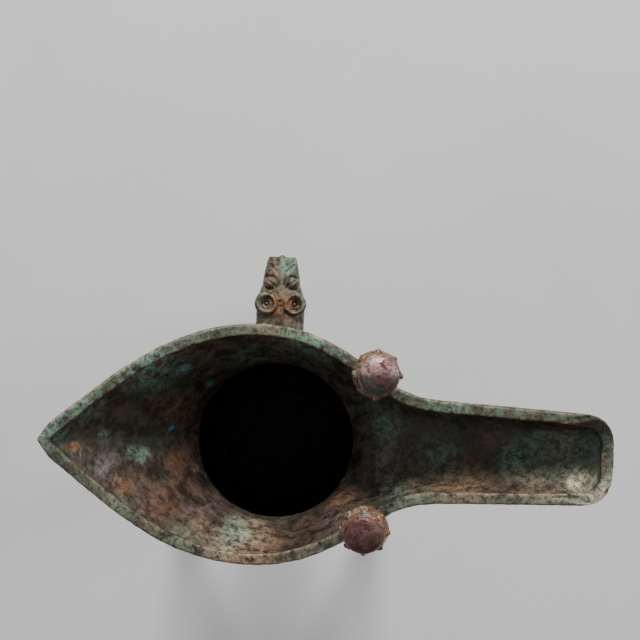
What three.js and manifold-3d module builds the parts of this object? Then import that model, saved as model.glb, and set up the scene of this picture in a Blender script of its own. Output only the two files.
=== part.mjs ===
// A bronze tripod libation cup: a waisted cup with a channel spout on one side and a pointed tail on the
// other, three blade legs, a strap handle with an animal head, and two capped posts standing on the rim.
// Millimetres. +X points along the spout, +Y towards the handle and +Z up.
// Pieces are laid out round the cup's own axis, and the last lines move the origin under the middle.
import * as THREE from "three";
import Module from "manifold-3d";
import { mergeVertices } from "three/addons/utils/BufferGeometryUtils.js";

const wasm = await Module();
wasm.setup();

// Driving dimensions of the mouth, seen from above
const TAIL_REACH = 69;
const TAIL_ROUND = 4.3;
const TAIL_SLOPE = 0.83;
const SPOUT_REACH = 101;
const SPOUT_CORNER = 9;
const SPOUT_TIP_HALF_WIDTH = 13.5;
const SPOUT_ROOT_X = 52;
const SPOUT_ROOT_HALF_WIDTH = 15.3;
const JUNCTION_X = 36;
const JUNCTION_HALF_WIDTH = 18.9;
const JUNCTION_SLOPE = -0.66;
const MOUTH_HALF_WIDTH = 36.3;
const WIDEST_X = -5;
// How far the control points of the outline's curves lie along each curve's run, from its two ends
const BEND_PULLS = [0.44, 0.22];
const BOW_PULLS = [0.32, 0.42];
const LEAF_PULLS = [0.44, 0.29];
const CORNER_PULL = 0.55;

// Driving dimensions of the rim, seen from the side
const RIM_LOW = 160;
const RIM_LOW_X = 5;
const TAIL_RISE = 22;
const SPOUT_RISE = 17;
const POURING_DROP = 8.5;
const LIP_WIDTH = 3.5;
const LIP_HEIGHT = 3;
const LIP_OUTER_HEIGHT = 4.5;
// Powers of the curves by which the rim climbs to its two ends, and of the spout's round floor
const TAIL_CURVE = 1.7;
const SPOUT_CURVE = 1.5;
const CHANNEL_ROUNDNESS = 3;
const SPOUT_STRAIGHT_END = SPOUT_REACH - SPOUT_CORNER - LIP_WIDTH;

// Driving dimensions of the cup below the mouth
const WALL = 2.5;
const NECK_HEIGHT = 128;
const NECK_RADIUS = 26.6;
const BELLY_HEIGHT = 102;
const BELLY_RADIUS = 30.5;
const BASE_HEIGHT = 74;
const BASE_THICKNESS = 3;
const FRIEZE_LOW = 101;
const FRIEZE_HIGH = 123.5;
const BOWSTRING = 0.8;
// The channel takes over from the flare between these angles from the spout, and each has its own curve
const CHANNEL_ANGLE = 24;
const FLARE_ANGLE = 44;
const CHANNEL_CLIMB = 0.66;
const SIDE_FLARE = 1.8;
const TAIL_FLARE = 1.25;
const TAIL_FLARE_ANGLE = 110;
const FLARE_SPACING = 1.6;
const BRIM_BLEND = 6;

// Driving dimensions of the legs
const LEG_ANGLES = { leg_handle_side: 90, leg_tail_side: 210, leg_spout_side: 330 };
const LEG_ROOT_HEIGHT = 94;
const LEG_ROOT_RADIUS = 22;
const LEG_ROOT_WIDTH = 18;
const LEG_ROOT_DEPTH = 10;
const FOOT_RADIUS = 43;
const FOOT_WIDTH = 6.5;
const FOOT_DEPTH = 5;

// Driving dimensions of the handle and the animal head on it
const HANDLE_TOP = 137;
const HANDLE_BOTTOM = 105.5;
const HANDLE_REACH = 52;
const HANDLE_WIDTH = 9;
const HANDLE_FOOT_WIDTH = 10.5;
const HANDLE_THICKNESS = 5;
const HEAD_REACH = 57;
const HEAD_WIDTH = 15;
const MUZZLE_WIDTH = 8.6;
const HEAD_TOP = 147.5;
const HEAD_DEPTH = 12;
const HORN_RADIUS = 2.7;
const HORN_TUBE = 1;
const HORN_SPREAD = 4.3;
const HORN_Y = 42.5;
const EYE_RADIUS = 1.7;
const EYE_SPREAD = 3.4;
const EYE_Y = 49;

// Driving dimensions of the posts and their caps
const POST_X = 28.2;
const POST_HEIGHT = 26;
const POST_WIDTH = 5.4;
const POST_TOP_WIDTH = 4.4;
const POST_CHAMFER = 0.14;
const FORK_WIDTH = 6.6;
const FORK_TINE = 2.2;
const FORK_DEPTH = 8;
const TENON_RADIUS = 1.9;
const CAP_RADIUS = 7.1;
const CROWN_RADIUS = 5.7;
const CAP_HEIGHT = 9;
const CAP_WALL = 1.9;
const CAP_GROOVE = 0.4;
const CROWN_DOME = 2;
const CROWN_WALL = 1.1;
const CAP_CEILING = 5.2;
const SOCKET_ROOF = 6.9;
const SKIRT_EDGE = 1.6;
const SKIRT_TOP = 5.8;
const SKIRT_TOP_RADIUS = 6.1;
const WHORL_COUNT = 8;
const WHORL_RADIUS = 1.45;
const WHORL_RAISE = 0.5;
// Each post stands a little askew: lean is how far its top lies outwards of its foot, and its cap tips
// by a few degrees towards the compass angle given.
const POSTS = {
  handle_side: { side: 1, lean: 1.2, tip: 9, towards: -10 },
  far_side: { side: -1, lean: -1, tip: 17, towards: -105 },
};

// Clearance between neighbouring castings, and how deep a root sits in the cup's wall
const GAP = 0.3;
const SOCKET_DEPTH = 1.2;

// Facet counts
const HALF_RAYS = 36;
const SPOUT_END_RAYS = 9;
const WALL_STEPS = 9;
const SHOULDER_STEPS = 3;
const BASE_STEPS = 6;
const LEG_STEPS = 10;
const HANDLE_STEPS = 20;
const HEAD_SIDES = 14;
const CAP_SEGMENTS = 24;
const CROWN_STEPS = 4;
const TENON_SEGMENTS = 12;
const WHORL_SEGMENTS = 8;

// Materials
const bronze = new THREE.MeshStandardMaterial({ color: 0x4a4a3e, roughness: 0.62, metalness: 0.65 });
const greenBronze = new THREE.MeshStandardMaterial({ color: 0x55624f, roughness: 0.7, metalness: 0.45 });
const redBronze = new THREE.MeshStandardMaterial({ color: 0x6b3f33, roughness: 0.45, metalness: 0.6 });
const firedClay = new THREE.MeshStandardMaterial({ color: 0x7d6450, roughness: 0.95, metalness: 0 });

const radians = THREE.MathUtils.degToRad;
const mix = THREE.MathUtils.lerp;
const ease = (value, low, high) => THREE.MathUtils.smoothstep(value, low, high);

// Solids

// The closed surface through rings of equal length, each end drawn in to a pole.
function skin(rings, startPole = middleOf(rings[0]), endPole = middleOf(rings.at(-1))) {
  const count = rings[0].length;
  const points = [...rings.flat(), startPole, endPole];
  const start = points.length - 2;
  const end = points.length - 1;
  const index = [];
  for (let i = 0; i < count; i++) {
    const next = (i + 1) % count;
    for (let k = 0; k + 1 < rings.length; k++) {
      const a = k * count;
      const b = a + count;
      index.push(a + i, a + next, b + next, a + i, b + next, b + i);
    }
    const last = (rings.length - 1) * count;
    index.push(start, next, i, end, last + i, last + next);
  }
  const geometry = new THREE.BufferGeometry().setFromPoints(points);
  geometry.setIndex(index);
  return solidFrom(geometry);
}

function middleOf(ring) {
  return ring.reduce((sum, point) => sum.add(point), new THREE.Vector3()).divideScalar(ring.length);
}

// A closed geometry as a solid that can be joined and cut, turned to face outwards.
function solidFrom(geometry) {
  const bare = geometry.clone();
  bare.deleteAttribute("normal");
  bare.deleteAttribute("uv");
  const merged = mergeVertices(bare, 1e-4);
  const corners = merged.index.array;
  const position = merged.attributes.position;
  const [a, b, c] = [0, 1, 2].map(() => new THREE.Vector3());
  let volume = 0;
  for (let i = 0; i < corners.length; i += 3) {
    a.fromBufferAttribute(position, corners[i]);
    b.fromBufferAttribute(position, corners[i + 1]);
    c.fromBufferAttribute(position, corners[i + 2]);
    volume += a.dot(b.cross(c));
  }
  const triVerts = new Uint32Array(corners);
  if (volume < 0) {
    for (let i = 0; i < triVerts.length; i += 3) {
      [triVerts[i + 1], triVerts[i + 2]] = [triVerts[i + 2], triVerts[i + 1]];
    }
  }
  return new wasm.Manifold(new wasm.Mesh({ numProp: 3, vertProperties: position.array, triVerts }));
}

function namedMesh(name, solid, material) {
  const { vertProperties, triVerts } = solid.getMesh();
  const geometry = new THREE.BufferGeometry();
  geometry.setAttribute("position", new THREE.BufferAttribute(vertProperties, 3));
  geometry.setIndex(new THREE.BufferAttribute(triVerts, 1));
  geometry.computeVertexNormals();
  const mesh = new THREE.Mesh(geometry, material);
  mesh.name = name;
  return mesh;
}

// A shape turned about a frame's Z from [radius, height] pairs that start and end on the axis or close on
// themselves.
function turned(profile, segments, frame) {
  const points = profile.map(([r, z]) => new THREE.Vector2(r, z));
  return solidFrom(new THREE.LatheGeometry(points, segments).rotateX(Math.PI / 2).applyMatrix4(frame));
}

// The mouth's outline

// Half of the lip's outer edge, on the handle's side, from the middle of the pouring edge to the tail's tip.
function halfOutline() {
  const square = SPOUT_CORNER * (1 - CORNER_PULL);
  const tail = { x: -TAIL_REACH + 0.6 * TAIL_ROUND, y: TAIL_ROUND };
  const leaf = WIDEST_X - tail.x;
  const bow = WIDEST_X - JUNCTION_X;
  const bend = SPOUT_ROOT_X - JUNCTION_X;
  const path = new THREE.Path();
  path.moveTo(SPOUT_REACH, 0);
  path.lineTo(SPOUT_REACH, SPOUT_TIP_HALF_WIDTH - SPOUT_CORNER);
  path.bezierCurveTo(
    ...[SPOUT_REACH, SPOUT_TIP_HALF_WIDTH - square],
    ...[SPOUT_REACH - square, SPOUT_TIP_HALF_WIDTH],
    ...[SPOUT_REACH - SPOUT_CORNER, SPOUT_TIP_HALF_WIDTH],
  );
  path.lineTo(SPOUT_ROOT_X, SPOUT_ROOT_HALF_WIDTH);
  path.bezierCurveTo(
    ...[SPOUT_ROOT_X - BEND_PULLS[0] * bend, SPOUT_ROOT_HALF_WIDTH],
    ...[JUNCTION_X + BEND_PULLS[1] * bend, JUNCTION_HALF_WIDTH + BEND_PULLS[1] * bend * JUNCTION_SLOPE],
    ...[JUNCTION_X, JUNCTION_HALF_WIDTH],
  );
  path.bezierCurveTo(
    ...[JUNCTION_X + BOW_PULLS[0] * bow, JUNCTION_HALF_WIDTH + BOW_PULLS[0] * bow * JUNCTION_SLOPE],
    ...[WIDEST_X - BOW_PULLS[1] * bow, MOUTH_HALF_WIDTH],
    ...[WIDEST_X, MOUTH_HALF_WIDTH],
  );
  path.bezierCurveTo(
    ...[WIDEST_X - LEAF_PULLS[0] * leaf, MOUTH_HALF_WIDTH],
    ...[tail.x + LEAF_PULLS[1] * leaf, tail.y + LEAF_PULLS[1] * leaf * TAIL_SLOPE],
    ...[tail.x, tail.y],
  );
  path.bezierCurveTo(
    ...[tail.x - 0.35 * TAIL_ROUND, tail.y - 0.35 * TAIL_ROUND * TAIL_SLOPE],
    ...[-TAIL_REACH, 0.45 * TAIL_ROUND],
    ...[-TAIL_REACH, 0],
  );
  return path;
}

// The outline as rays from the cup's axis, mirrored to the far side: some crowd round the spout's end, and
// the rest are evenly spaced along the edge.
function outlineRays(halfSteps, endSteps) {
  const path = halfOutline();
  const end = (SPOUT_TIP_HALF_WIDTH + SPOUT_CORNER) / path.getLength();
  const onEnd = (k) => (end * k) / endSteps;
  const onSide = (k) => mix(end, 1, (k - endSteps) / (halfSteps - endSteps));
  const share = (k) => (k < endSteps ? onEnd(k) : onSide(k));
  const half = Array.from({ length: halfSteps + 1 }, (_, k) => path.getPointAt(share(k)));
  const far = half.slice(1, -1).reverse();
  const loop = [...half.map(({ x, y }) => [x, y]), ...far.map(({ x, y }) => [x, -y])];
  return loop.map(([x, y]) => ({ x, y, angle: Math.atan2(y, x), radius: Math.hypot(x, y) }));
}

const RAYS = outlineRays(HALF_RAYS, SPOUT_END_RAYS);
const FINE_OUTLINE = outlineRays(HALF_RAYS * 5, SPOUT_END_RAYS * 5);

function distanceToOutline(x, y) {
  let least = Infinity;
  FINE_OUTLINE.forEach((a, i) => {
    const b = FINE_OUTLINE[(i + 1) % FINE_OUTLINE.length];
    const [dx, dy] = [b.x - a.x, b.y - a.y];
    const along = ((x - a.x) * dx + (y - a.y) * dy) / (dx * dx + dy * dy);
    const t = THREE.MathUtils.clamp(along, 0, 1);
    least = Math.min(least, Math.hypot(x - a.x - t * dx, y - a.y - t * dy));
  });
  return least;
}

// Where each ray meets the outline drawn in by an inset. A negative inset lies outside the outline.
const contours = new Map();
function contour(inset) {
  if (!contours.has(inset)) {
    const reach = (ray) => {
      let [low, high] = [0.5 * NECK_RADIUS, 1.2 * ray.radius];
      for (let pass = 0; pass < 24; pass++) {
        const r = (low + high) / 2;
        const away = distanceToOutline(r * Math.cos(ray.angle), r * Math.sin(ray.angle));
        const depth = r < ray.radius ? away : -away;
        [low, high] = depth > inset ? [r, high] : [low, r];
      }
      return low;
    };
    const points = RAYS.map((ray) => {
      const radius = Math.abs(inset) < 1e-9 ? ray.radius : reach(ray);
      return { x: radius * Math.cos(ray.angle), y: radius * Math.sin(ray.angle), angle: ray.angle, radius };
    });
    contours.set(inset, points);
  }
  return contours.get(inset);
}

// Half the width of a contour at a station along the spout or the front of the mouth.
function halfWidth(points, x) {
  const half = points.slice(0, HALF_RAYS + 1);
  const i = half.findIndex((point, k) => k > 0 && point.x <= x);
  if (half[0].x <= x || i < 1) return half.find((point) => point.y > 0).y;
  const [a, b] = [half[i - 1], half[i]];
  return mix(b.y, a.y, (x - b.x) / Math.max(a.x - b.x, 1e-6));
}

// The rim's height: a saddle that climbs to the tail and the spout, and dips at the pouring edge.
function lipTop({ x, y }) {
  const tail = (RIM_LOW_X - x) / (RIM_LOW_X + TAIL_REACH);
  const spout = (x - RIM_LOW_X) / (SPOUT_REACH - RIM_LOW_X);
  const climb = x < RIM_LOW_X ? TAIL_RISE * tail ** TAIL_CURVE : SPOUT_RISE * spout ** SPOUT_CURVE;
  const across = Math.min(1, Math.abs(y) / SPOUT_TIP_HALF_WIDTH);
  const dip = ease(x, SPOUT_STRAIGHT_END, SPOUT_REACH - LIP_WIDTH);
  return RIM_LOW + climb - POURING_DROP * dip * (1 - across ** CHANNEL_ROUNDNESS);
}

// The cup's walls

// One face of the mouth's wall, from the neck out to the given contour: a flare that turns into a channel
// along the spout. drop is how far its upper end lies below the lip.
function mouthWall(inset, neckRadius, drop) {
  const edge = contour(inset);
  const top = (point) => lipTop(point) - drop;
  const tipFloor = top(edge[0]);
  const channel = (x, y, ray) => {
    const run = Math.max(0, (x - neckRadius) / (edge[0].radius - neckRadius));
    const floor = mix(NECK_HEIGHT, tipFloor, run ** CHANNEL_CLIMB);
    const inner = Math.abs(neckRadius * Math.sin(ray.angle));
    const side = (Math.abs(y) - inner) / (halfWidth(edge, Math.min(x, SPOUT_STRAIGHT_END)) - inner);
    const brim = lipTop({ x, y: SPOUT_TIP_HALF_WIDTH }) - drop;
    const bank = THREE.MathUtils.clamp(side, 0, 1) ** CHANNEL_ROUNDNESS;
    return floor + (Math.max(brim, floor) - floor) * bank;
  };
  return (i, share) => {
    const end = edge[i];
    const turn = Math.abs(THREE.MathUtils.radToDeg(end.angle));
    const alongSpout = 1 - ease(turn, CHANNEL_ANGLE, FLARE_ANGLE);
    const flare = mix(SIDE_FLARE, TAIL_FLARE, ease(turn, TAIL_FLARE_ANGLE, 180));
    const t = share ** mix(FLARE_SPACING, 1, alongSpout);
    const radius = mix(neckRadius, end.radius, t);
    const [x, y] = [radius * Math.cos(end.angle), radius * Math.sin(end.angle)];
    const flared = mix(NECK_HEIGHT, top(end), t ** (1 / flare));
    const missed = top(end) - channel(end.x, end.y, end);
    const channelled = channel(x, y, end) + missed * t ** BRIM_BLEND;
    return new THREE.Vector3(x, y, mix(flared, channelled, alongSpout));
  };
}

// The rows of the cup's outside below the neck, as [radius, height] from the neck down to near the base.
function outsideRows(out) {
  const rows = [];
  for (const border of [FRIEZE_HIGH, FRIEZE_LOW]) {
    rows.push([0, border + 1.2 * BOWSTRING], [BOWSTRING, border], [0, border - 1.2 * BOWSTRING]);
  }
  for (let k = 1; k <= SHOULDER_STEPS; k++) {
    rows.push([0, mix(FRIEZE_HIGH, FRIEZE_LOW, k / (SHOULDER_STEPS + 1))]);
  }
  rows.sort((a, b) => b[1] - a[1]);
  const shoulder = rows.map(([raise, z]) => [shoulderRadius(z) + raise + out, z]);
  return [...shoulder, ...bowlRows(BELLY_RADIUS + out, BASE_HEIGHT - out, FRIEZE_LOW - 3 * BOWSTRING)];
}

function insideRows() {
  const rows = [];
  for (let k = 1; k <= SHOULDER_STEPS; k++) {
    const z = mix(NECK_HEIGHT, BELLY_HEIGHT, k / (SHOULDER_STEPS + 1));
    rows.push([shoulderRadius(z) - WALL, z]);
  }
  return [...rows, ...bowlRows(BELLY_RADIUS - WALL, BASE_HEIGHT + BASE_THICKNESS, BELLY_HEIGHT)];
}

// The outside's radius between the neck and the belly.
function shoulderRadius(z) {
  return mix(BELLY_RADIUS, NECK_RADIUS, ease(z, BELLY_HEIGHT, NECK_HEIGHT));
}

// The rounded bottom, as rows from a starting height down to near its pole.
function bowlRows(radius, bottom, start) {
  const first = Math.asin(THREE.MathUtils.clamp((BELLY_HEIGHT - start) / (BELLY_HEIGHT - bottom), 0, 1));
  return Array.from({ length: BASE_STEPS }, (_, k) => {
    const angle = mix(first, Math.PI / 2, k / BASE_STEPS);
    return [radius * Math.cos(angle) ** 0.9, BELLY_HEIGHT - (BELLY_HEIGHT - bottom) * Math.sin(angle)];
  });
}

const ringOf = ([radius, z]) =>
  RAYS.map(({ angle }) => new THREE.Vector3(radius * Math.cos(angle), radius * Math.sin(angle), z));
const lipRing = (inset, down) =>
  contour(inset).map((point) => new THREE.Vector3(point.x, point.y, lipTop(point) - down));
const wallRings = (wall) =>
  Array.from({ length: WALL_STEPS + 1 }, (_, k) => RAYS.map((_, i) => wall(i, k / WALL_STEPS)));

// The cup's outside as rings from the lip down to the base, moved outwards by a distance.
function outsideRings(out) {
  const wall = mouthWall(-out, NECK_RADIUS + out, LIP_OUTER_HEIGHT);
  return [...wallRings(wall).reverse(), ...outsideRows(out).map(ringOf)];
}

// The whole cup as one shell, thickened on every face by a clearance.
function cupShell(clearance) {
  const wall = mouthWall(WALL + clearance, NECK_RADIUS - WALL - clearance, LIP_HEIGHT + clearance);
  const bowl = insideRows().map(([radius, z]) => [radius - clearance, z + clearance]);
  const lip = [
    lipRing(LIP_WIDTH + clearance, LIP_HEIGHT - BOWSTRING + clearance),
    lipRing(LIP_WIDTH + clearance, -clearance),
    lipRing(-clearance, -clearance),
  ];
  const rings = [...bowl.reverse().map(ringOf), ...wallRings(wall), ...lip, ...outsideRings(clearance)];
  const insidePole = new THREE.Vector3(0, 0, BASE_HEIGHT + BASE_THICKNESS + clearance);
  const outsidePole = new THREE.Vector3(0, 0, BASE_HEIGHT - clearance);
  return skin(rings, insidePole, outsidePole);
}

// Everything within the cup's outside, filled in, for trimming roots and cutting their sockets.
function cupFilled(out) {
  const lid = new THREE.Vector3(0, 0, RIM_LOW);
  return skin(outsideRings(out), lid, new THREE.Vector3(0, 0, BASE_HEIGHT - out));
}

// Legs, handle and head

// A blade leg: flat towards the cup's axis and ridged outside, tapering and splaying down to a flat foot.
function legBlank(angle, grow) {
  const outwards = new THREE.Vector3(Math.cos(angle), Math.sin(angle), 0);
  const sideways = new THREE.Vector3(-Math.sin(angle), Math.cos(angle), 0);
  const section = [[-0.5, -0.4], [0.5, -0.4], [0.47, -0.12], [0.12, 0.5], [-0.12, 0.5], [-0.47, -0.12]];
  const rings = Array.from({ length: LEG_STEPS + 1 }, (_, k) => {
    const down = k / LEG_STEPS;
    const radius = mix(LEG_ROOT_RADIUS, FOOT_RADIUS, down ** 1.35);
    const width = mix(LEG_ROOT_WIDTH, FOOT_WIDTH, down ** 0.8) + 2 * grow;
    const depth = mix(LEG_ROOT_DEPTH, FOOT_DEPTH, down) + 2 * grow;
    return section.map(([across, out]) =>
      new THREE.Vector3(0, 0, LEG_ROOT_HEIGHT * (1 - down))
        .addScaledVector(outwards, radius + out * depth)
        .addScaledVector(sideways, across * width),
    );
  });
  return skin(rings);
}

// The handle's centre line in the YZ plane: a squarish loop out of the neck and back into the belly.
function handleCentre(share) {
  const turn = mix(Math.PI / 2, -Math.PI / 2, share);
  const squareness = 2 / 2.7;
  const start = NECK_RADIUS - 2 * WALL;
  const rise = Math.sign(Math.sin(turn)) * Math.abs(Math.sin(turn)) ** squareness;
  return {
    y: mix(start, HANDLE_REACH, Math.abs(Math.cos(turn)) ** squareness),
    z: (HANDLE_TOP + HANDLE_BOTTOM) / 2 + (rise * (HANDLE_TOP - HANDLE_BOTTOM)) / 2,
  };
}

// The strap handle, crowned outside and flat inside.
function handleBlank(grow) {
  const section = [[-0.5, -0.5], [0.5, -0.5], [0.5, 0.15], [0.28, 0.5], [-0.28, 0.5], [-0.5, 0.15]];
  const rings = Array.from({ length: HANDLE_STEPS + 1 }, (_, k) => {
    const share = k / HANDLE_STEPS;
    const at = handleCentre(share);
    const before = handleCentre(Math.max(0, share - 0.01));
    const after = handleCentre(Math.min(1, share + 0.01));
    const length = Math.hypot(after.y - before.y, after.z - before.z);
    const [outY, outZ] = [-(after.z - before.z) / length, (after.y - before.y) / length];
    const width = mix(HANDLE_WIDTH, HANDLE_FOOT_WIDTH, share) + 2 * grow;
    const depth = HANDLE_THICKNESS + 2 * grow;
    return section.map(([across, out]) =>
      new THREE.Vector3(across * width, at.y + outY * out * depth, at.z + outZ * out * depth),
    );
  });
  return skin(rings);
}

// The animal head that sits over the handle's shoulder, its muzzle pointing away from the cup.
function headBlank() {
  // Each station: share of the way from the cup to the muzzle, share of the way from the muzzle's width to
  // the brow's, and height as a share of the head's.
  const stations = [
    [0, 0.9, 0.94],
    [0.34, 1, 1],
    [0.57, 1, 1],
    [0.7, 0.53, 0.92],
    [0.84, 0.33, 0.8],
    [0.94, 0.14, 0.68],
    [1, 0, 0.5],
  ];
  const bottom = HEAD_TOP - HEAD_DEPTH;
  const rings = stations.map(([share, wide, high]) => {
    const y = mix(NECK_RADIUS, HEAD_REACH, share);
    const halfWide = mix(MUZZLE_WIDTH, HEAD_WIDTH, wide) / 2;
    const halfHigh = (HEAD_DEPTH * high) / 2;
    return Array.from({ length: HEAD_SIDES }, (_, k) => {
      const turn = (2 * Math.PI * k) / HEAD_SIDES;
      const across = squared(Math.cos(turn));
      const up = squared(Math.sin(turn));
      return new THREE.Vector3(halfWide * across, y, bottom + halfHigh * (1 + up));
    });
  });
  return skin(rings);
}

// A cosine or sine drawn outwards, so that a round section becomes a soft square.
function squared(value) {
  return Math.sign(value) * Math.abs(value) ** 0.7;
}

// Two curled horns behind two round eyes, standing on the top of the head.
function headBosses() {
  const horn = () => new THREE.TorusGeometry(HORN_RADIUS, HORN_TUBE, 6, 14);
  const eye = () => new THREE.SphereGeometry(EYE_RADIUS, 12, 8);
  const browTop = HEAD_TOP - EYE_RADIUS;
  return [-1, 1].flatMap((side) => [
    solidFrom(horn().translate(side * HORN_SPREAD, HORN_Y, HEAD_TOP)),
    solidFrom(eye().translate(side * EYE_SPREAD, EYE_Y, browTop)),
  ]);
}

function headSolid() {
  const whole = headBosses().reduce((sum, boss) => sum.add(boss), headBlank());
  return whole.subtract(handleBlank(GAP)).subtract(cupFilled(GAP));
}

// Posts and caps

// Where a post stands: the middle of the lip, the lip's direction there and the way out from it.
function postPlace({ side }) {
  const middle = contour(LIP_WIDTH / 2);
  const y = halfWidth(middle, POST_X);
  const slope = halfWidth(middle, POST_X + 1) - halfWidth(middle, POST_X - 1);
  const along = new THREE.Vector3(2, side * slope, 0).normalize();
  const outwards = new THREE.Vector3(-side * along.y, side * along.x, 0);
  const foot = new THREE.Vector3(POST_X, side * y, lipTop({ x: POST_X, y }));
  return { along, outwards, foot };
}

// The tipped frame of a cap: its origin is in the middle of the post's top, and its Z runs up the tenon.
function capFrame(post) {
  const { outwards, foot } = postPlace(post);
  const vertical = new THREE.Vector3(0, 0, 1);
  const hinge = new THREE.Vector3(0, 1, 0).applyAxisAngle(vertical, radians(post.towards));
  const turn = new THREE.Quaternion().setFromAxisAngle(hinge, radians(post.tip));
  const seat = foot.clone().addScaledVector(outwards, post.lean).add(new THREE.Vector3(0, 0, POST_HEIGHT));
  return new THREE.Matrix4().compose(seat, turn, new THREE.Vector3(1, 1, 1));
}

// A post: a fork that straddles the lip, a square column that narrows upwards and a round tenon for its cap.
function postSolid(post) {
  const { along, outwards, foot } = postPlace(post);
  const forkAcross = LIP_WIDTH + 2 * FORK_TINE;
  const stations = [
    [-FORK_DEPTH, FORK_WIDTH, forkAcross],
    [FORK_TINE, FORK_WIDTH, forkAcross],
    [2 * FORK_TINE, POST_WIDTH, POST_WIDTH],
    [POST_HEIGHT - FORK_TINE, POST_TOP_WIDTH, POST_TOP_WIDTH],
  ];
  const flat = 0.5 - POST_CHAMFER;
  const section = [
    [-flat, -0.5], [flat, -0.5], [0.5, -flat], [0.5, flat],
    [flat, 0.5], [-flat, 0.5], [-0.5, flat], [-0.5, -flat],
  ];
  const rings = stations.map(([height, wide, deep]) =>
    section.map(([u, v]) =>
      foot.clone()
        .addScaledVector(along, u * wide)
        .addScaledVector(outwards, v * deep + post.lean * Math.max(0, height / POST_HEIGHT))
        .add(new THREE.Vector3(0, 0, height)),
    ),
  );
  const frame = capFrame(post);
  const toFrame = frame.clone().invert();
  rings.push(rings.at(-1).map((point) => point.clone().applyMatrix4(toFrame).setZ(0).applyMatrix4(frame)));
  const tenon = turned([[0, -FORK_TINE], [TENON_RADIUS, -FORK_TINE], ...tenonTop()], TENON_SEGMENTS, frame);
  return skin(rings).subtract(cupShell(GAP)).add(tenon);
}

const tenonTop = () => [[TENON_RADIUS, SOCKET_ROOF - GAP], [0, SOCKET_ROOF - GAP]];

// The radius of a cap's hollow at a height above its mouth.
function capHollow(z) {
  return mix(CAP_RADIUS - CAP_WALL, CROWN_RADIUS - CROWN_WALL, z / CAP_CEILING);
}

// A cap: a hat with a low domed crown, a groove under it and a skirt set with whorls, hollow underneath
// and with a blind hole in its ceiling for the tenon.
function capSolid(post) {
  const frame = capFrame(post);
  const bore = TENON_RADIUS + GAP;
  const crownEdge = CAP_HEIGHT - CROWN_DOME;
  const dome = Array.from({ length: CROWN_STEPS }, (_, k) => {
    const angle = (Math.PI / 2) * (k / CROWN_STEPS);
    return [CROWN_RADIUS * Math.sin(angle), crownEdge + CROWN_DOME * Math.cos(angle)];
  });
  const outside = [
    ...dome,
    [CROWN_RADIUS, crownEdge],
    [CROWN_RADIUS, crownEdge - CAP_GROOVE],
    [CROWN_RADIUS - CAP_GROOVE, crownEdge - 2 * CAP_GROOVE],
    [SKIRT_TOP_RADIUS, SKIRT_TOP],
    [CAP_RADIUS, SKIRT_EDGE],
    [CAP_RADIUS - CAP_GROOVE, 0],
  ];
  const inside = [
    [capHollow(0), 0], [capHollow(CAP_CEILING), CAP_CEILING], [bore, CAP_CEILING], [bore, SOCKET_ROOF],
    [0, SOCKET_ROOF],
  ];
  const hat = turned([...outside, ...inside], CAP_SEGMENTS, frame);
  const whorls = Array.from({ length: WHORL_COUNT }, (_, k) => whorl(k, frame));
  return whorls.reduce((sum, one) => sum.add(one), hat);
}

// One whorl: a low round boss lying on the skirt's slope.
function whorl(index, frame) {
  const slope = Math.atan2(CAP_RADIUS - SKIRT_TOP_RADIUS, SKIRT_TOP - SKIRT_EDGE);
  const reach = (CAP_RADIUS + SKIRT_TOP_RADIUS) / 2;
  const place = new THREE.Matrix4()
    .makeRotationZ((2 * Math.PI * index) / WHORL_COUNT)
    .multiply(new THREE.Matrix4().makeTranslation(reach, 0, (SKIRT_EDGE + SKIRT_TOP) / 2))
    .multiply(new THREE.Matrix4().makeRotationY(Math.PI / 2 - slope));
  const profile = [
    [0, -WHORL_RAISE],
    [WHORL_RADIUS, -WHORL_RAISE],
    [WHORL_RADIUS - WHORL_RAISE, WHORL_RAISE],
    [0, WHORL_RAISE],
  ];
  return turned(profile, WHORL_SEGMENTS, frame.clone().multiply(place));
}

// The fired-clay core that a cap was cast round, left inside it and pierced by the tenon.
function coreSolid(post) {
  const bore = TENON_RADIUS + GAP;
  const [bottom, top] = [GAP, CAP_CEILING - GAP];
  const corners = [
    [bore, bottom], [capHollow(bottom) - GAP, bottom], [capHollow(top) - GAP, top], [bore, top],
  ];
  return turned([...corners, corners[0]], CAP_SEGMENTS, capFrame(post));
}

// Assembly

const socketFloor = cupFilled(-SOCKET_DEPTH);
const rootEnd = cupFilled(-SOCKET_DEPTH + GAP);
const legs = Object.entries(LEG_ANGLES).map(([name, angle]) => ({ name, angle: radians(angle) }));
const sockets = [...legs.map(({ angle }) => legBlank(angle, GAP)), handleBlank(GAP)];
const cup = sockets.reduce((shell, blank) => shell.subtract(blank.subtract(socketFloor)), cupShell(0));

const vessel = new THREE.Group();
vessel.add(namedMesh("cup_body", cup, bronze));
for (const { name, angle } of legs) {
  vessel.add(namedMesh(name, legBlank(angle, 0).subtract(rootEnd), bronze));
}
vessel.add(namedMesh("handle_strap", handleBlank(0).subtract(rootEnd), greenBronze));
vessel.add(namedMesh("handle_head", headSolid(), greenBronze));
for (const [name, post] of Object.entries(POSTS)) {
  vessel.add(namedMesh(`post_${name}`, postSolid(post), bronze));
  vessel.add(namedMesh(`cap_${name}`, capSolid(post), redBronze));
  vessel.add(namedMesh(`cap_core_${name}`, coreSolid(post), firedClay));
}

// The origin goes under the middle of the whole, on the surface that the feet stand on.
const bounds = new THREE.Box3().setFromObject(vessel);
const middle = bounds.getCenter(new THREE.Vector3());
vessel.position.set(-middle.x, -middle.y, -bounds.min.z);

export default vessel;
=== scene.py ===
"""A bronze tripod libation cup, seen from straight above, in a soft studio light on a pale floor.

Every piece starts as a fine copy of its solid, is carved and corroded in mesh code, and gets a patina.
Lengths called mm are millimetres from the cup's own axis, which stands beside the frame's origin.
"""

import math

import bmesh
import bpy
import numpy as np
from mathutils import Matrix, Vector, noise


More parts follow.
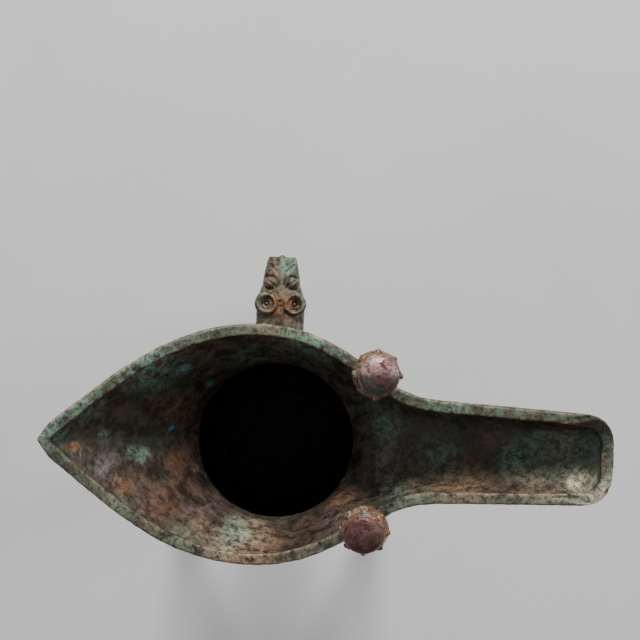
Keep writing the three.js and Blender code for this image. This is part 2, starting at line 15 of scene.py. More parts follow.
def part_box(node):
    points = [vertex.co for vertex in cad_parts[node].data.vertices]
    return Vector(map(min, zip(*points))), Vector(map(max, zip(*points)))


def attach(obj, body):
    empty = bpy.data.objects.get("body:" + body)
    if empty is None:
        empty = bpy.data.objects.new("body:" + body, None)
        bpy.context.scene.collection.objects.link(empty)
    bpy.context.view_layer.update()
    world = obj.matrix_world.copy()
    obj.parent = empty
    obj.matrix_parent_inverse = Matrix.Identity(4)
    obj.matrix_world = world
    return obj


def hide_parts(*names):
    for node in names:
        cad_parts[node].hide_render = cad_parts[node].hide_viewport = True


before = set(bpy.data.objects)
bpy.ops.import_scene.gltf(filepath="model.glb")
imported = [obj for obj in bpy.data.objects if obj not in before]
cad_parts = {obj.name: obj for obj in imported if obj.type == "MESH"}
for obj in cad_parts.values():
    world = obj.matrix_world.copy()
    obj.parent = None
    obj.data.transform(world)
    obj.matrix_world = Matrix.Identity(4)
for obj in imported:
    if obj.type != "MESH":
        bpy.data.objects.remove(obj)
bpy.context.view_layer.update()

MM = 0.001
TAIL_REACH = 69.0
RIM_HEIGHT = 160.0

# The photograph's camera: straight down, turned a little, over a point between the axis and the animal head
CAMERA_OVER = (12.26, 38.05)
CAMERA_HEIGHT = 910.0
CAMERA_TURN = math.radians(2.3)
CAMERA_LENS = 140.6
CAMERA_SENSOR = 36

# Belly frieze: two rows of squared spirals between the bowstrings, with raised eyes
FRIEZE_LOW = 102.6
FRIEZE_HIGH = 121.9
FRIEZE_ROWS = 2
FRIEZE_CELLS = 20
FRIEZE_DEPTH = 0.5
FRIEZE_EDGE = 0.8
SPIRAL_TURNS = 1.9
SPIRAL_GROOVE = (-0.45, 0.35)
BOSS_ANGLES = (30, 62, 210, 242, 298, 330, 118, 150)
BOSS_RADIUS = 3.6
BOSS_HEIGHT = 0.9
BOSS_SQUEEZE = 1.25
BOSS_RING = 4.0
BOSS_RING_EDGE = (0.9, 0.4)
BOSS_FIELD = 4.9
BOSS_FIELD_DEPTH = 0.35
SPIRALS_START = 4.8

# Animal head: places are across and along it, and the rest are radii, widths and heights
HORN_AT = (4.3, 42.5)
HORN_REACH = 4.6
HORN_PITCH = 1.35
HORN_HEIGHT = 0.42
EYE_AT = (3.4, 49)
EYE_SQUEEZE = 1.15
LID_RADIUS = 2.3
LID_WIDTH = 0.42
LID_DEPTH = 0.55
NOSTRIL_AT = (2.5, 55.3)
NOSTRIL_REACH = 0.9
NOSTRIL_HEIGHT = 0.35
CURL_RADIUS = 1.25
CURL_WIDTH = 0.38
CURL_DEPTH = 0.5
RIDGE_HEIGHT = 0.8
RIDGE_WIDTH = 0.9
RIDGE_RISE = (47, 50)
BROW_Y = 45.6
BROW_WIDTH = 1.6
BROW_LENGTH = 2.2
BROW_HEIGHT = 0.55
GROOVE_STARTS = (51.6, 53.4, 46.6)
GROOVE_SLOPE = 0.75
GROOVE_WIDTH = 0.36
GROOVE_DEPTH = 0.38
GROOVE_CLEARS_RIDGE = (0.9, 1.4)
CHEEK_LINE = 141.5
CHEEK_WIDTH = 0.5
CHEEK_DEPTH = 0.35

# Caps: each one's tip and the compass angle it tips towards, and the height of its core's middle
CAP_TILTS = {"handle_side": (9, -10), "far_side": (17, -105)}
# How strong the painted highlight and painted shade on each cap's crown are
CAP_ROSE = {"handle_side": 1.0, "far_side": 0.1}
CORE_MIDDLE = 2.6
CAP_WHORLS = 8
WHORL_HEIGHT = 3.7
WHORL_REACH = 6.6
WHORL_SPREAD = 2.0
WHORL_BULGE = 0.15
COIL_PITCH = 1.15
COIL_REACH = 2.3
COIL_HEIGHT = 0.3
SKIRT_ENDS = (5.6, 6.2)
CROWN_STARTS = (6.0, 6.6)

# Corrosion of every surface
SWELL_SIZE = 9.0
CRUST_SIZE = 2.2
CRUST_HEIGHT = 0.07
PIT_SIZE = 3.1
PIT_DEPTHS = (0.35, 0.8)
GRAIN_DECAY = 0.9
GRAIN_STEP = 2.1
SEED_SHIFTS = (17.3, 5.1, 9.7)

# How far a face has to look up, inwards or outwards to count, as bands of its normal
LOOKS_UP = (-0.1, 0.35)
SLOPES_UP = (0.2, 0.6)
LIES_FLAT = (0.55, 0.9)
TOP_OF_HEAD = (0.05, 0.6)
LOOKS_IN = (0.0, 0.4)
LOOKS_OUT = (0.3, 0.7)
SKIRT_LOOKS_OUT = (0.2, 0.6)

# Zones of the cup's paint. WELL and WELL_RADIUS bound the painted shade in the well, and DIM_SIDE and
# DIM_PAST_TAIL bound the painted shade on the +y inner wall
NECK = (128, 140)
WELL = (112, 134)
WELL_RADIUS = 29
LIP_DROPS = (6, 1)
FAR_SIDE = (0, 26)
DIM_SIDE = (-6, 14)
DIM_PAST_TAIL = (-60, -30)
STRONGEST_PAINT = 1.3

# Zones of the head's and the caps' paint
FOREHEAD_AT = (1.5, 42)
FOREHEAD_REACH = 5.5
SNOUT_AT = (1.6, 54.5)
SNOUT_REACH = 4.5
CHEEKS = (3, 6)
TAIL_CHEEK = (-1, 3)
# Where the caps' painted highlight starts, across y from the cap's middle
ROSE_STARTS = (-1.5, 1.5)

# Pieces: the size of their faces, and the seeds of their corrosion
VOXELS = {"cup": 0.5, "leg": 0.4, "strap": 0.35, "head": 0.22, "post": 0.3, "cap": 0.17}
SEEDS = {"cup": 3, "leg": 11, "strap": 21, "head": 23, "post": 51, "cap": 61}
WELD_DISTANCE = 0.002
SOFTEN_SHARE = 0.5
HOLLOW_ROUNDS = 6

# Colours of the patina, in linear light
# NEAR_BLACK colours the dark speckles, and also the painted shade in the cup's well and on its +y inner wall
NEAR_BLACK = (0.012, 0.01, 0.009)
UMBER = (0.034, 0.023, 0.018)
BROWN = (0.075, 0.042, 0.027)
DARK_GREEN = (0.024, 0.042, 0.03)
MOSS = (0.055, 0.075, 0.045)
GREY_GREEN = (0.11, 0.13, 0.1)
MINT = (0.17, 0.33, 0.24)
AZURITE = (0.07, 0.27, 0.36)
ORANGE = (0.3, 0.12, 0.045)
TAN = (0.24, 0.18, 0.12)
CUPRITE = (0.1, 0.022, 0.018)
LAVENDER = (0.2, 0.16, 0.18)
# ROSE is mostly the painted highlight on the caps' crowns, with a little real rose stain
ROSE = (0.36, 0.22, 0.22)
PALE = (0.45, 0.4, 0.3)
CLAY_DARK = (0.2, 0.12, 0.075)
CLAY_LIGHT = (0.34, 0.235, 0.16)
CLAY_SOOT = (0.08, 0.06, 0.05)
FLOOR_DARK = (0.56, 0.56, 0.57)
FLOOR_LIGHT = (0.63, 0.63, 0.64)

# Patina: sizes of its layers' features, the bands of noise where each shows, and its strongest share
BROAD_SIZE = 22
MOTTLE_SIZE = 4.5
WORN_SIZE = 2.4
SPECKLE_SIZE = 1.1
DUST_SIZE = 0.6
CRUST_BAND = (0.42, 0.6)
BLOOM_BAND = (0.48, 0.66, 0, 0.5)
STAIN_BAND = (0.38, 0.6)
SPECKLE_BAND = (0.5, 0.66, 0, 0.8)
DUST_BAND = (0.6, 0.74, 0, 0.35)
HOLLOW_BAND = (0.02, 0.14, 0, 0.8)
EDGE_BAND = (-0.05, -0.22, 0, 0.6)
RUBBED_BAND = (0.4, 0.6)
ROUGH_BAND = (0.35, 0.7)
ROUGHNESS = (0.46, 0.8)
METAL_BAND = (0.4, 0.62, 0.55, 0.1)
RELIEF_SHARES = {"mottle": 0.7, "speckle": 0.6, "dust": 0.35}
RELIEF_STRENGTH = 0.7
RELIEF_DEPTH = 0.35

# Studio: each light's name, place, aim, size, watts and colour, in metres, and then the sky and floor
LIGHTS = (
    ("key", (0.0, 0.85, 0.75), (0.02, 0, 0.14), 0.4, 17, (1.0, 0.97, 0.93)),
    ("fill", (-0.9, -0.5, 0.9), (0, 0, 0.12), 0.9, 3, (0.93, 0.96, 1.0)),
    ("rim", (0.9, 0.2, 0.6), (0, 0, 0.15), 0.4, 4, (1.0, 0.97, 0.94)),
)
SKY_COLOUR = (0.75, 0.77, 0.8, 1)
SKY_STRENGTH = 0.3
FLOOR_REACH = 30.0
FLOOR_DROP = 0.2

scene = bpy.context.scene
cup_low, cup_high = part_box("cup_body")
AXIS = np.array([cup_low.x / MM + TAIL_REACH, (cup_low.y + cup_high.y) / 2 / MM, 0.0])


def smooth(value, low, high):
    share = np.clip((value - low) / (high - low), 0, 1)
    return share * share * (3 - 2 * share)


def hill(distance, reach):
    """1 at the middle, falling smoothly to 0 at reach."""
    return 1 - smooth(distance, 0, reach)


def bell(distance, width):
    """1 at the middle, falling off like a bell curve."""
    return np.exp(-((distance / width) ** 2))


# Mesh tools


def fine_copy(node, voxel, rounds):
    """A CAD node's shape as a new object of small even faces, softened by a few rounds of smoothing."""
    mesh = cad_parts[node].data.copy()
    shape = bmesh.new()
    shape.from_mesh(mesh)
    bmesh.ops.remove_doubles(shape, verts=shape.verts, dist=WELD_DISTANCE * MM)
    shape.to_mesh(mesh)
    shape.free()
    piece = bpy.data.objects.new(f"{node}_finish", mesh)
    scene.collection.objects.link(piece)
    remesh = piece.modifiers.new("remesh", "REMESH")
    remesh.mode = "VOXEL"
    remesh.voxel_size = voxel * MM
    soften = piece.modifiers.new("soften", "SMOOTH")
    soften.factor = SOFTEN_SHARE
    soften.iterations = rounds
    depsgraph = bpy.context.evaluated_depsgraph_get()
    finished = bpy.data.meshes.new_from_object(piece.evaluated_get(depsgraph))
    piece.modifiers.clear()
    piece.data = finished
    finished.materials.clear()
    finished.name = piece.name
    finished.shade_smooth()
    return piece


def points_of(piece):
    """The piece's vertices in millimetres from the cup's axis, and their normals."""
    count = len(piece.data.vertices)
    points = np.empty(count * 3, np.float32)
    normals = np.empty(count * 3, np.float32)
    piece.data.vertices.foreach_get("co", points)
    piece.data.vertices.foreach_get("normal", normals)
    return points.reshape(-1, 3).astype(float) / MM - AXIS, normals.reshape(-1, 3).astype(float)


def displace(piece, heights):
    """Moves each vertex along its normal by a height in millimetres."""
    points, normals = points_of(piece)
    moved = (points + AXIS + normals * heights[:, None]) * MM
    piece.data.vertices.foreach_set("co", moved.astype(np.float32).ravel())
    piece.data.update()


def grain(points, scale, octaves, seed):
    """Fractal noise of about -1 to 1 at each point, with features about scale millimetres across."""
    shift = Vector([seed * part for part in SEED_SHIFTS])
    places = (Vector(point) / scale + shift for point in points)
    return np.array([noise.fractal(place, GRAIN_DECAY, GRAIN_STEP, octaves) for place in places])


def stain_over(points, scale, seed):
    """The same noise, of about 0 to 1."""
    return 0.5 + 0.5 * grain(points, scale, 3, seed)


def corrode(piece, seed, swell=0.12, pits=0.22):
    """Casting swells, a fine crust and shallow corrosion pits."""
    points, _ = points_of(piece)
    slow = grain(points, SWELL_SIZE, 3, seed)
    fine = grain(points, CRUST_SIZE, 4, seed + 1)
    holes = smooth(grain(points, PIT_SIZE, 3, seed + 2), *PIT_DEPTHS)
    displace(piece, swell * slow + CRUST_HEIGHT * fine - pits * holes)


def paint(piece, name, values):
    """Stores one number for each vertex, for the material to read."""
    attribute = piece.data.attributes.new(name, "FLOAT", "POINT")
    attribute.data.foreach_set("value", values.astype(np.float32))


def hollows(piece):
    """How deep each vertex lies below its neighbours: above 0 in grooves and below 0 on edges."""
    points, normals = points_of(piece)
    edges = np.empty(len(piece.data.edges) * 2, np.int32)
    piece.data.edges.foreach_get("vertices", edges)
    a, b = edges.reshape(-1, 2).T
    around = points.copy()
    share = np.bincount(a, minlength=len(points)) + np.bincount(b, minlength=len(points))
    for _ in range(HOLLOW_ROUNDS):
        total = np.empty_like(around)
        for axis in range(3):
            column = around[:, axis]
            total[:, axis] = np.bincount(a, column[b], len(points)) + np.bincount(b, column[a], len(points))
        around = total / np.maximum(share, 1)[:, None]
    return np.einsum("ij,ij->i", around - points, normals)


# Materials


class Shade:
    """A material's node tree with short calls for the nodes that the patinas use."""

    def __init__(self, name):
        self.material = bpy.data.materials.new(name)
        self.material.use_nodes = True
        self.tree = self.material.node_tree
        self.shader = self.tree.nodes["Principled BSDF"]
        coordinates = self.tree.nodes.new("ShaderNodeTexCoord")
        self.place = coordinates.outputs["Object"]

    def feed(self, socket, value):
        if isinstance(value, bpy.types.NodeSocket):
            self.tree.links.new(value, socket)
        elif isinstance(value, tuple) and len(value) == 3 and socket.type == "RGBA":
            socket.default_value = (*value, 1)
        else:
            socket.default_value = value

    def noise(self, size, detail=6.0, roughness=0.6, distortion=0.0):
        """Noise whose features are about size millimetres across."""
        node = self.tree.nodes.new("ShaderNodeTexNoise")
        self.feed(node.inputs["Vector"], self.place)
        node.inputs["Scale"].default_value = 1 / (size * MM)
        node.inputs["Detail"].default_value = detail
        node.inputs["Roughness"].default_value = roughness
        node.inputs["Distortion"].default_value = distortion
        return node.outputs["Fac"]

    def painted(self, name):
        node = self.tree.nodes.new("ShaderNodeAttribute")
        node.attribute_name = name
        return node.outputs["Fac"]

    def range(self, value, low, high, start=0.0, end=1.0):
        node = self.tree.nodes.new("ShaderNodeMapRange")
        node.interpolation_type = "SMOOTHSTEP"
        self.feed(node.inputs["Value"], value)
        for name, number in (("From Min", low), ("From Max", high), ("To Min", start), ("To Max", end)):
            node.inputs[name].default_value = number
        return node.outputs["Result"]

    def math(self, kind, a, b):
        node = self.tree.nodes.new("ShaderNodeMath")
        node.operation = kind
        self.feed(node.inputs[0], a)
        self.feed(node.inputs[1], b)
        return node.outputs[0]

    def mix(self, share, a, b):
        node = self.tree.nodes.new("ShaderNodeMix")
        node.data_type = "RGBA"
        self.feed(node.inputs["Factor"], share)
        self.feed(node.inputs["A"], a)
        self.feed(node.inputs["B"], b)
        return node.outputs["Result"]

    def finish(self, colour, roughness, metallic, height, strength, distance):
        self.feed(self.shader.inputs["Base Color"], colour)
        self.feed(self.shader.inputs["Roughness"], roughness)
        self.feed(self.shader.inputs["Metallic"], metallic)
        bump = self.tree.nodes.new("ShaderNodeBump")
        bump.inputs["Strength"].default_value = strength
        bump.inputs["Distance"].default_value = distance * MM
        self.feed(bump.inputs["Height"], height)
        self.feed(self.shader.inputs["Normal"], bump.outputs["Normal"])
        return self.material


def patina(name, ground, crust, bloom, gloss=0.0, tints=()):
    """Bronze under layers: a dark ground, a crust, a bloom, stains, dust, dark hollows and rubbed edges.

    tints are pairs of a painted number's name and its colour; most are stains, but on the cup and the caps
    some paint shade or a highlight. A number above 1 leaves fewer gaps.
    """
    shade = Shade(name)
    broad = shade.noise(BROAD_SIZE, 5, 0.6, 0.5)
    mottle = shade.noise(MOTTLE_SIZE, 8, 0.7, 0.4)
    worn = shade.noise(WORN_SIZE, 8, 0.75, 0.3)
    speckle = shade.noise(SPECKLE_SIZE, 5, 0.7)
    dust = shade.noise(DUST_SIZE, 4, 0.75)
    colour = shade.mix(shade.range(mottle, *CRUST_BAND), ground, crust)
    colour = shade.mix(shade.range(broad, *BLOOM_BAND), colour, bloom)
    for painted, tint in tints:
        share = shade.math("MULTIPLY", shade.painted(painted), shade.range(worn, *STAIN_BAND))
        colour = shade.mix(share, colour, tint)
    colour = shade.mix(shade.range(speckle, *SPECKLE_BAND), colour, NEAR_BLACK)
    colour = shade.mix(shade.range(dust, *DUST_BAND), colour, GREY_GREEN)
    colour = shade.mix(shade.range(shade.painted("hollow"), *HOLLOW_BAND), colour, DARK_GREEN)
    edge = shade.range(shade.painted("hollow"), *EDGE_BAND)
    colour = shade.mix(shade.math("MULTIPLY", edge, shade.range(worn, *RUBBED_BAND)), colour, TAN)
    roughness = shade.range(mottle, *ROUGH_BAND, *(rough - gloss for rough in ROUGHNESS))
    metallic = shade.range(mottle, *METAL_BAND)
    height = 0.0
    for layer, kind in ((mottle, "mottle"), (speckle, "speckle"), (dust, "dust")):
        height = shade.math("ADD", height, shade.math("MULTIPLY", layer, RELIEF_SHARES[kind]))
    return shade.finish(colour, roughness, metallic, height, RELIEF_STRENGTH, RELIEF_DEPTH)


def clay():
    shade = Shade("core_clay_finish")
    grit = shade.noise(0.8, 7, 0.75)
    stain = shade.noise(4, 4, 0.6)
    colour = shade.mix(shade.range(grit, 0.4, 0.65), CLAY_DARK, CLAY_LIGHT)
    colour = shade.mix(shade.range(stain, 0.52, 0.7, 0, 0.7), colour, CLAY_SOOT)
    return shade.finish(colour, shade.range(stain, 0.3, 0.7, 0.85, 0.97), 0.0, grit, 0.5, 0.2)


def floor_finish():
    shade = Shade("floor_finish")
    stone = shade.noise(60, 6, 0.6)
    colour = shade.mix(stone, FLOOR_DARK, FLOOR_LIGHT)
    return shade.finish(colour, 0.7, 0.0, stone, 0.05, 0.4)


# Carving


def squared_spiral(u, v, turns):
    """Height from 0 to 1 of a squared spiral in a cell whose half side is 1."""
    reach = np.maximum(np.abs(u), np.abs(v))
    turn = np.arctan2(v, u) / (2 * np.pi)
    return smooth(np.cos(2 * np.pi * (reach * turns - turn)), *SPIRAL_GROOVE)


def carve_frieze(piece):
    """Squared spirals round the belly, turning left and right by turns, and eye bosses among them."""
    points, normals = points_of(piece)
    angle = np.arctan2(points[:, 1], points[:, 0])
    outwards = normals[:, 0] * np.cos(angle) + normals[:, 1] * np.sin(angle)
    height = points[:, 2]
    inside = smooth(outwards, *LOOKS_OUT) * smooth(height, FRIEZE_LOW, FRIEZE_LOW + FRIEZE_EDGE)
    inside *= 1 - smooth(height, FRIEZE_HIGH - FRIEZE_EDGE, FRIEZE_HIGH)
    across = (angle / (2 * np.pi) + 0.5) * FRIEZE_CELLS
    up = (height - FRIEZE_LOW) / (FRIEZE_HIGH - FRIEZE_LOW) * FRIEZE_ROWS
    flip = np.where(np.floor(across) % 2 == 0, 1, -1)
    u = (across - np.floor(across) - 0.5) * 2 * flip
    v = (up - np.floor(up) - 0.5) * 2
    relief = FRIEZE_DEPTH * (squared_spiral(u, v, SPIRAL_TURNS) - 1)
    radius = np.hypot(points[:, 0], points[:, 1])
    middle = (FRIEZE_LOW + FRIEZE_HIGH) / 2
    for degrees in BOSS_ANGLES:
        turn = (angle - math.radians(degrees) + np.pi) % (2 * np.pi) - np.pi
        away = np.hypot(turn * radius, (height - middle) * BOSS_SQUEEZE)
        ring = smooth(np.abs(away - BOSS_RING), *BOSS_RING_EDGE)
        relief = relief * smooth(away, BOSS_RADIUS, SPIRALS_START)
        relief += BOSS_HEIGHT * hill(away, BOSS_RADIUS)
        relief -= BOSS_FIELD_DEPTH * (1 - ring) * (away < BOSS_FIELD)
    displace(piece, relief * inside)


def carve_head(piece):
    """Ridge, brow, ringed eyes, curled horns, V grooves and nostrils on the animal head."""
    points, normals = points_of(piece)
    x, y = np.abs(points[:, 0]), points[:, 1]
    top = smooth(normals[:, 2], *TOP_OF_HEAD)
    horn = np.hypot(x - HORN_AT[0], y - HORN_AT[1])
    eye = np.hypot(x - EYE_AT[0], (y - EYE_AT[1]) * EYE_SQUEEZE)
    nostril = np.hypot(x - NOSTRIL_AT[0], y - NOSTRIL_AT[1])
    relief = RIDGE_HEIGHT * bell(x, RIDGE_WIDTH) * smooth(y, *RIDGE_RISE)
    relief += BROW_HEIGHT * bell(x, BROW_WIDTH) * bell(y - BROW_Y, BROW_LENGTH)
    relief += HORN_HEIGHT * np.cos(2 * np.pi * (horn / HORN_PITCH)) * hill(horn, HORN_REACH)
    relief -= LID_DEPTH * bell(eye - LID_RADIUS, LID_WIDTH)
    relief -= CURL_DEPTH * bell(nostril - CURL_RADIUS, CURL_WIDTH)
    relief += NOSTRIL_HEIGHT * hill(nostril, NOSTRIL_REACH)
    for start in GROOVE_STARTS:
        line = y - (start + GROOVE_SLOPE * x)
        relief -= GROOVE_DEPTH * bell(line, GROOVE_WIDTH) * smooth(x, *GROOVE_CLEARS_RIDGE)
    cheek = -CHEEK_DEPTH * bell(points[:, 2] - CHEEK_LINE, CHEEK_WIDTH) * (1 - top)
    displace(piece, relief * top + cheek)


def carve_cap(piece, side):
    """A small spiral on each whorl of the skirt. Gives the points in the cap's own frame."""
    tip, towards = (math.radians(angle) for angle in CAP_TILTS[side])
    up = Vector((math.sin(tip) * math.cos(towards), math.sin(tip) * math.sin(towards), math.cos(tip)))
    low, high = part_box(f"cap_core_{side}")
    seat = (low + high) / 2 / MM - up * CORE_MIDDLE - Vector(AXIS)
    turn = Vector((0, 0, 1)).rotation_difference(up).to_matrix()
    points, normals = points_of(piece)
    local = (points - np.array(seat)) @ np.array(turn)
    facing = normals @ np.array(turn)
    reach = np.hypot(local[:, 0], local[:, 1])
    angle = np.arctan2(local[:, 1], local[:, 0])
    outwards = (facing[:, 0] * local[:, 0] + facing[:, 1] * local[:, 1]) / np.maximum(reach, 0.1)
    skirt = smooth(outwards, *SKIRT_LOOKS_OUT) * (1 - smooth(local[:, 2], *SKIRT_ENDS))
    share = (angle / (2 * np.pi) * CAP_WHORLS + 0.5) % 1 - 0.5
    across = share * 2 * np.pi / CAP_WHORLS * WHORL_REACH
    rise = local[:, 2] - WHORL_HEIGHT
    away = np.hypot(across, rise)
    coil = np.cos(2 * np.pi * away / COIL_PITCH - np.arctan2(rise, across)) * hill(away, COIL_REACH)
    displace(piece, skirt * (COIL_HEIGHT * coil + WHORL_BULGE * hill(away, WHORL_SPREAD)))
    return local


# Patches of colour that the photograph shows, as x, y and reach in millimetres and a strength


def spread(points, patches, squeeze=1.0):
    """How strongly a set of patches covers each point, seen from above."""
    total = np.zeros(len(points))
    for x, y, reach, strength in patches:
        away = np.hypot(points[:, 0] - x, (points[:, 1] - y) * squeeze)
        total = np.maximum(total, strength * hill(away, reach))
    return total


MINT_PATCHES = (
    (-67, 3, 9, 1.1), (-57, 12, 9, 0.7), (-39, 24, 14, 0.9), (10, 34, 14, 0.9), (-40, -5, 3.5, 1.2),
    (-43, -4, 3, 0.9), (-51, 1, 2.5, 0.9), (-11, -28, 7, 1.0), (33, 6, 11, 0.55), (26, 12, 9, 0.6),
    (52, 14, 10, 0.4), (72, -2, 7, 0.7), (50, -3, 12, 0.4), (38, -18, 12, 0.7), (-23, -9, 3, 0.8),
    (-26, -31, 9, 0.6), (-47, -22, 9, 0.5), (100, -8, 5, 0.6), (-8, 24, 10, 0.5),
)
AZURITE_PATCHES = ((-32, 3, 2.2, 1.2), (-28, 22, 2.4, 0.8), (-21, 17, 2.6, 0.7), (-24, -6, 2.0, 0.9))
ORANGE_PATCHES = (
    (-8, -36, 16, 1.1), (-31, 10, 8, 0.35), (-59, -2, 2.6, 1.3), (-45, -14, 6, 0.5), (-29, -8, 6, 0.35),
    (-34, -19, 9, 0.4), (20, -8, 7, 0.7), (18, -15, 8, 0.8), (38, -20, 5, 1.0), (26, 2, 8, 0.45),
    (86, 3, 9, 0.3), (-4, 37, 9, 0.45), (-22, -27, 8, 0.4), (55, -10, 12, 0.35),
)
TAN_PATCHES = (
    (58, -14, 17, 0.9), (80, -13, 14, 0.9), (98, -8, 9, 0.9), (0, 37, 14, 0.6), (-5, -31, 14, 0.8),
    (24, -16, 9, 0.8), (-22, -28, 10, 0.5), (40, -15, 12, 0.6),
)
LAVENDER_PATCHES = (
    (-50, -9, 7, 0.8), (-40, -22, 12, 0.35), (32, -6, 12, 0.8), (99, 0, 9, 0.9), (-55, -14, 8, 0.7),
    (-20, -25, 12, 0.4), (20, -22, 9, 0.5), (68, 6, 12, 0.35),
)
PALE_PATCHES = ((90, -7, 6, 1.2), (-6, -28, 9, 0.6), (-14, -32, 7, 0.6), (94, -12, 6, 0.7))


def paint_cup(piece):
    """Stains of the flare and spout where the patches say, a green lip, and painted shade: near black in the
    well below the neck, and fainter on the +y inner wall, which faces away from the key light.
    """
    points, normals = points_of(piece)
    height = points[:, 2]
    upwards = smooth(normals[:, 2], *LOOKS_UP)
    above_neck = smooth(height, *NECK)
    lip = smooth(height, *(RIM_HEIGHT - drop for drop in LIP_DROPS)) * smooth(normals[:, 2], *LIES_FLAT)
    radius = np.maximum(np.hypot(points[:, 0], points[:, 1]), 0.1)
    inwards = -(normals[:, 0] * points[:, 0] + normals[:, 1] * points[:, 1]) / radius
    faces_in = np.maximum(smooth(inwards, *LOOKS_IN), smooth(normals[:, 2], *SLOPES_UP))
    # Painted shade: the inner wall of the well below the neck, which is darkened to near black
    well = (1 - smooth(height, *WELL)) * faces_in * (radius < WELL_RADIUS)
    inside = upwards * above_neck
    outside = (1 - upwards) * (1 - well)
    wander = stain_over(points, 14, 31)
    far_side = smooth(-points[:, 1], *FAR_SIDE)
    # Painted shade on the inner wall of the +y side, which faces away from the key light
    dim_side = smooth(points[:, 1], *DIM_SIDE) * smooth(points[:, 0], *DIM_PAST_TAIL)
    green_lip = lip * (0.08 + 0.34 * wander * (1 - 0.6 * far_side))
    rust = 0.3 * outside * wander
    stains = {
        "mint": spread(points, MINT_PATCHES) * inside * (1 - 0.35 * lip) + green_lip + rust,
        "azurite": spread(points, AZURITE_PATCHES) * inside,
        "orange": spread(points, ORANGE_PATCHES) * inside + rust,
        "tan": spread(points, TAN_PATCHES) * inside + 0.3 * lip * far_side,
        "lavender": spread(points, LAVENDER_PATCHES) * inside * (1 - lip),
        "pale": spread(points, PALE_PATCHES) * inside,
        "moss": np.minimum(lip * (0.9 - 0.3 * wander) + 0.5 * outside, 1),
        # painted_shade: the shade painted into the well and onto the +y inner wall
        "painted_shade": np.minimum(well + 0.45 * dim_side * inside * (1 - lip), 1),
    }
    for name, values in stains.items():
        paint(piece, name, np.clip(values, 0, STRONGEST_PAINT))
    paint(piece, "hollow", hollows(piece))


def paint_plain(piece, mint, orange):
    """Green and orange stains of a given strength over the whole of a small piece."""
    points, _ = points_of(piece)
    paint(piece, "mint", np.clip(mint * (0.6 + 0.8 * grain(points, 6, 3, 41)), 0, 1))
    paint(piece, "orange", np.clip(orange * (0.6 + 0.9 * grain(points, 5, 3, 43)), 0, 1))
    paint(piece, "hollow", hollows(piece))


def paint_head(piece):
    """An orange forehead next to the cup, a mint snout and tan cheeks."""
    points, _ = points_of(piece)
    x, y = points[:, 0], points[:, 1]
    forehead = hill(np.hypot(x - FOREHEAD_AT[0], y - FOREHEAD_AT[1]), FOREHEAD_REACH)
    snout = hill(np.hypot(x - SNOUT_AT[0], y - SNOUT_AT[1]), SNOUT_REACH)
    stain = stain_over(points, 3, 47)
    mint = 1.2 * snout + 0.45 * stain * smooth(np.abs(x), *CHEEKS)
    orange = 1.3 * forehead + 0.35 * stain * smooth(-x, *TAIL_CHEEK)
    paint(piece, "mint", np.clip(mint, 0, 1.2))
    paint(piece, "orange", np.clip(orange, 0, 1.2))
    paint(piece, "tan", np.clip(0.35 + 0.5 * stain, 0, 1))
    paint(piece, "hollow", hollows(piece))


def paint_cap(piece, local, rose):
    """A red-brown crown over a golden skirt, with green in the whorls; the crown gets a painted rose
    highlight on its +y half, towards the key light, over a little rose stain, and painted dark-green shade
    on its other half.
    """
    points, _ = points_of(piece)
    crown = smooth(local[:, 2], *CROWN_STARTS)
    # The +y half of the cap, towards the key light, which gets the painted highlight
    lit = smooth(points[:, 1] - points[:, 1].mean(), *ROSE_STARTS)
    stain = stain_over(points, 2.5, 49)
    # rose: painted highlight on the crown's +y half, with a little real rose stain all over; green: painted
    # shade on the crown's other half
    paint(piece, "rose", crown * (1.2 * rose * lit + 0.25 * stain))
    paint(piece, "green", crown * rose * (1 - lit))
    paint(piece, "orange", (1 - crown) * np.clip(0.45 + 0.7 * stain, 0, 1.1))
    paint(piece, "mint", (1 - crown) * np.clip(0.7 - 0.8 * stain, 0, 1))
    paint(piece, "hollow", hollows(piece))


# Materials in use

cup_finish = patina(
    "cup_bronze_finish", UMBER, BROWN, DARK_GREEN,
    tints=(
        # The painted_shade tint darkens the well and the +y inner wall to near black as painted shade
        ("moss", MOSS), ("painted_shade", NEAR_BLACK), ("lavender", LAVENDER), ("tan", TAN), ("orange", ORANGE),
        ("mint", MINT), ("pale", PALE), ("azurite", AZURITE),
    ),
)
leg_finish = patina("leg_bronze_finish", UMBER, MOSS, GREY_GREEN, tints=(("orange", ORANGE), ("mint", MINT)))
handle_finish = patina(
    "handle_bronze_finish", UMBER, MOSS, BROWN, tints=(("tan", TAN), ("orange", ORANGE), ("mint", MINT))
)
post_finish = patina("post_bronze_finish", UMBER, BROWN, MOSS, tints=(("orange", ORANGE), ("mint", MINT)))
cap_finish = patina(
    "cap_bronze_finish", CUPRITE, BROWN, CUPRITE, gloss=0.2,
    # rose is mostly the painted highlight on each crown's +y half, and green the painted shade on its other
    # half
    tints=(("rose", ROSE), ("green", DARK_GREEN), ("orange", ORANGE), ("mint", MINT)),
)
clay_finish = clay()


def place(piece, node, slot, material):
    """Gives a finished piece its material, and sets it in its node's stead."""
    piece.data.materials.append(material)
    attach(piece, "root")
    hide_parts(node)


# Pieces

cup = fine_copy("cup_body", VOXELS["cup"], 4)
carve_frieze(cup)
corrode(cup, SEEDS["cup"])
paint_cup(cup)
place(cup, "cup_body", "cup_bronze", cup_finish)

for number, leg_name in enumerate(("leg_handle_side", "leg_tail_side", "leg_spout_side")):
    leg = fine_copy(leg_name, VOXELS["leg"], 4)
    corrode(leg, SEEDS["leg"] + number)
    paint_plain(leg, mint=0.5, orange=0.25)
    place(leg, leg_name, "leg_bronze", leg_finish)

strap = fine_copy("handle_strap", VOXELS["strap"], 4)
corrode(strap, SEEDS["strap"])
paint_plain(strap, mint=0.7, orange=0.3)
place(strap, "handle_strap", "handle_bronze", handle_finish)

head = fine_copy("handle_head", VOXELS["head"], 3)
carve_head(head)
corrode(head, SEEDS["head"], swell=0.08, pits=0.1)
paint_head(head)
place(head, "handle_head", "handle_bronze", handle_finish)

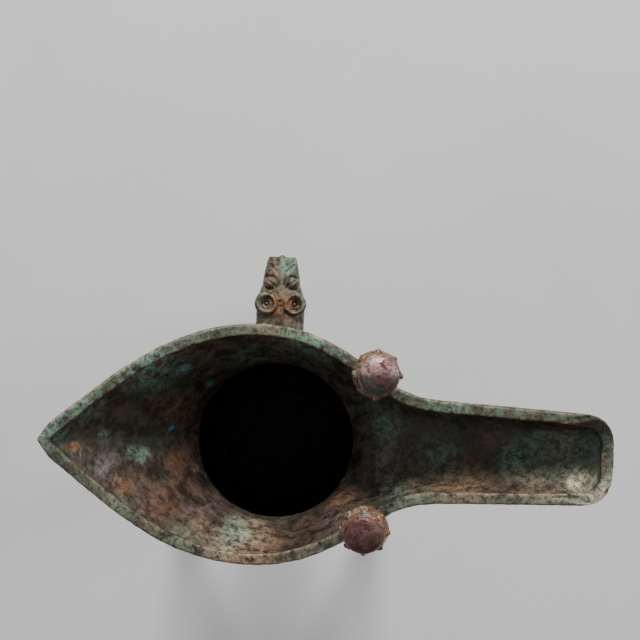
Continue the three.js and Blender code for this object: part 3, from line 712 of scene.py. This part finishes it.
for number, side in enumerate(CAP_TILTS):
    post = fine_copy(f"post_{side}", VOXELS["post"], 3)
    corrode(post, SEEDS["post"] + number, swell=0.08, pits=0.12)
    paint_plain(post, mint=0.5, orange=0.3)
    place(post, f"post_{side}", "post_bronze", post_finish)
    cap = fine_copy(f"cap_{side}", VOXELS["cap"], 2)
    local = carve_cap(cap, side)
    corrode(cap, SEEDS["cap"] + number, swell=0.06, pits=0.08)
    paint_cap(cap, local, CAP_ROSE[side])
    place(cap, f"cap_{side}", "cap_bronze", cap_finish)
    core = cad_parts[f"cap_core_{side}"]
    core.data.materials.clear()
    core.data.materials.append(clay_finish)

# Floor, lights and camera


def add_floor():
    reach = FLOOR_REACH
    mesh = bpy.data.meshes.new("floor")
    corners = [(-reach, -reach, 0), (reach, -reach, 0), (reach, reach, 0), (-reach, reach, 0)]
    mesh.from_pydata(corners, [], [(0, 1, 2, 3)])
    floor = bpy.data.objects.new("floor", mesh)
    floor.location.z = -FLOOR_DROP * MM
    mesh.materials.append(floor_finish())
    scene.collection.objects.link(floor)


def add_light(name, place_at, aim, size, watts, colour):
    lamp = bpy.data.lights.new(name, "AREA")
    lamp.shape = "DISK"
    lamp.size = size
    lamp.energy = watts
    lamp.color = colour
    holder = bpy.data.objects.new(name, lamp)
    holder.location = place_at
    holder.rotation_euler = (Vector(aim) - Vector(place_at)).to_track_quat("-Z", "Y").to_euler()
    scene.collection.objects.link(holder)


def add_camera():
    lens = bpy.data.cameras.new("photo_camera")
    lens.lens = CAMERA_LENS
    lens.sensor_width = CAMERA_SENSOR
    holder = bpy.data.objects.new("photo_camera", lens)
    over = np.array([*CAMERA_OVER, CAMERA_HEIGHT]) + AXIS
    holder.location = Vector(over * MM)
    holder.rotation_euler = (0, 0, CAMERA_TURN)
    scene.collection.objects.link(holder)
    scene.camera = holder


add_floor()
for light in LIGHTS:
    add_light(*light)
world = bpy.data.worlds.new("studio")
world.use_nodes = True
world.node_tree.nodes["Background"].inputs["Color"].default_value = SKY_COLOUR
world.node_tree.nodes["Background"].inputs["Strength"].default_value = SKY_STRENGTH
scene.world = world
add_camera()
